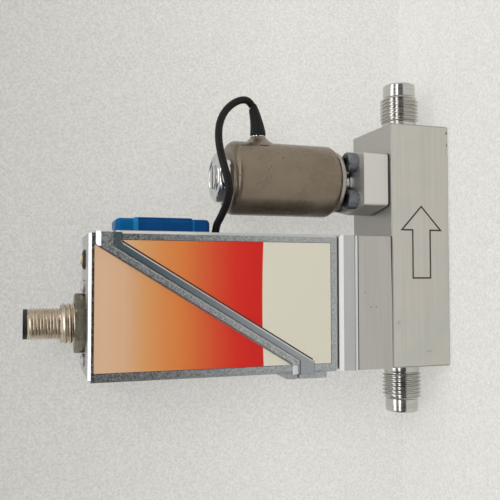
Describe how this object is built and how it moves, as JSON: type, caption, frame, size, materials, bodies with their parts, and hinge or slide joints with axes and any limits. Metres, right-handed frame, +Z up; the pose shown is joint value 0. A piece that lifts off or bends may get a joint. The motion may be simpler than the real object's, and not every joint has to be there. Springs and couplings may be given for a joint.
{
  "type": "mass flow meter with control valve",
  "caption": "Thermal mass flow meter for gas with a built-on solenoid control valve, screwed fittings, a two-shell cast housing and its coil lead.",
  "frame": {"origin": "middle of the base block's underside", "axes": "+X along the gas flow, out of the outlet; -Y out of the label face; +Z up through the housing"},
  "size_m": [0.1242, 0.0318, 0.148],
  "materials": {
    "steel": "fine brushed stainless steel",
    "fitting_steel": "turned stainless steel",
    "block_steel": "milled stainless steel",
    "screw_steel": "bright screw steel",
    "polished_steel": "polished steel",
    "plate_aluminium": "satin aluminium",
    "housing_zinc": "bare die-cast zinc alloy, faintly rough, bright on its edges",
    "connector_nickel": "nickel-plated brass",
    "copper_wire": "enamelled copper wire",
    "pin_gold": "gold-plated contact",
    "coil_brown": "satin champagne-brown paint",
    "cap_blue": "moulded blue plastic",
    "black_plastic": "moulded black plastic",
    "button_cream": "cream plastic",
    "board_green": "green circuit board lacquer",
    "chip_black": "black chip body",
    "label_warm": "printed film, peach to orange",
    "label_cream": "printed film, red to cream",
    "seal_rubber": "black sealing rubber",
    "boot_black": "black shrunk sleeve",
    "cable_black": "black cable jacket"
  },
  "bodies": {
    "body": {"base_body": "steel", "board_bracket": "plate_aluminium", "board_components": "chip_black", "board_screws": "screw_steel", "button_bezel": "black_plastic", "button_switch": "black_plastic", "cable_boot": "boot_black", "cable_grommet": "boot_black", "circuit_board": "board_green", "coil_bobbin": "black_plastic", "coil_can": "coil_brown", "coil_ring": "polished_steel", "coil_top_nut": "polished_steel", "coil_winding": "copper_wire", "dsub_insert": "black_plastic", "dsub_jack_posts": "screw_steel", "dsub_shell": "connector_nickel", "dust_cap": "cap_blue", "flow_element_clamp": "steel", "foot_plate": "plate_aluminium", "foot_plate_screws": "screw_steel", "front_label_lower": "label_cream", "front_label_upper": "label_warm", "housing_lower_shell": "housing_zinc", "housing_top_screws": "screw_steel", "housing_upper_shell": "housing_zinc", "inlet_filter_screen": "steel", "inlet_fitting": "fitting_steel", "inlet_fitting_seal": "seal_rubber", "laminar_flow_element": "steel", "lead_ferrule": "polished_steel", "outlet_fitting": "fitting_steel", "outlet_fitting_seal": "seal_rubber", "plunger_spring": "polished_steel", "round_connector_liner": "black_plastic", "round_connector_nut": "connector_nickel", "round_connector_pins": "pin_gold", "round_connector_seal": "seal_rubber", "round_connector_shell": "connector_nickel", "sensor_block": "block_steel", "sensor_block_screws": "screw_steel", "sensor_block_seals": "seal_rubber", "sensor_capillary": "steel", "sensor_cover": "plate_aluminium", "sensor_windings": "copper_wire", "valve_block": "block_steel", "valve_block_seal": "seal_rubber", "valve_cable": "cable_black", "valve_orifice": "steel", "valve_pole_piece": "polished_steel", "valve_screws": "screw_steel", "valve_sleeve": "polished_steel"},
    "plunger": {"valve_plunger": "polished_steel", "plunger_seal": "seal_rubber"},
    "button": {"push_button": "button_cream"}
  },
  "joints": [
    {"name": "plunger_lift", "type": "slide", "parent": "body", "child": "plunger", "axis": [0, 0, 1], "range_m": [0, 0.0004], "stiffness_N_per_m": 500, "springref_m": -0.002, "deforming": ["plunger_spring"]},
    {"name": "button_press", "type": "slide", "parent": "body", "child": "button", "axis": [0, 0, -1], "range_m": [0, 0.0004], "stiffness_N_per_m": 2000, "springref_m": -0.0005}
  ]
}
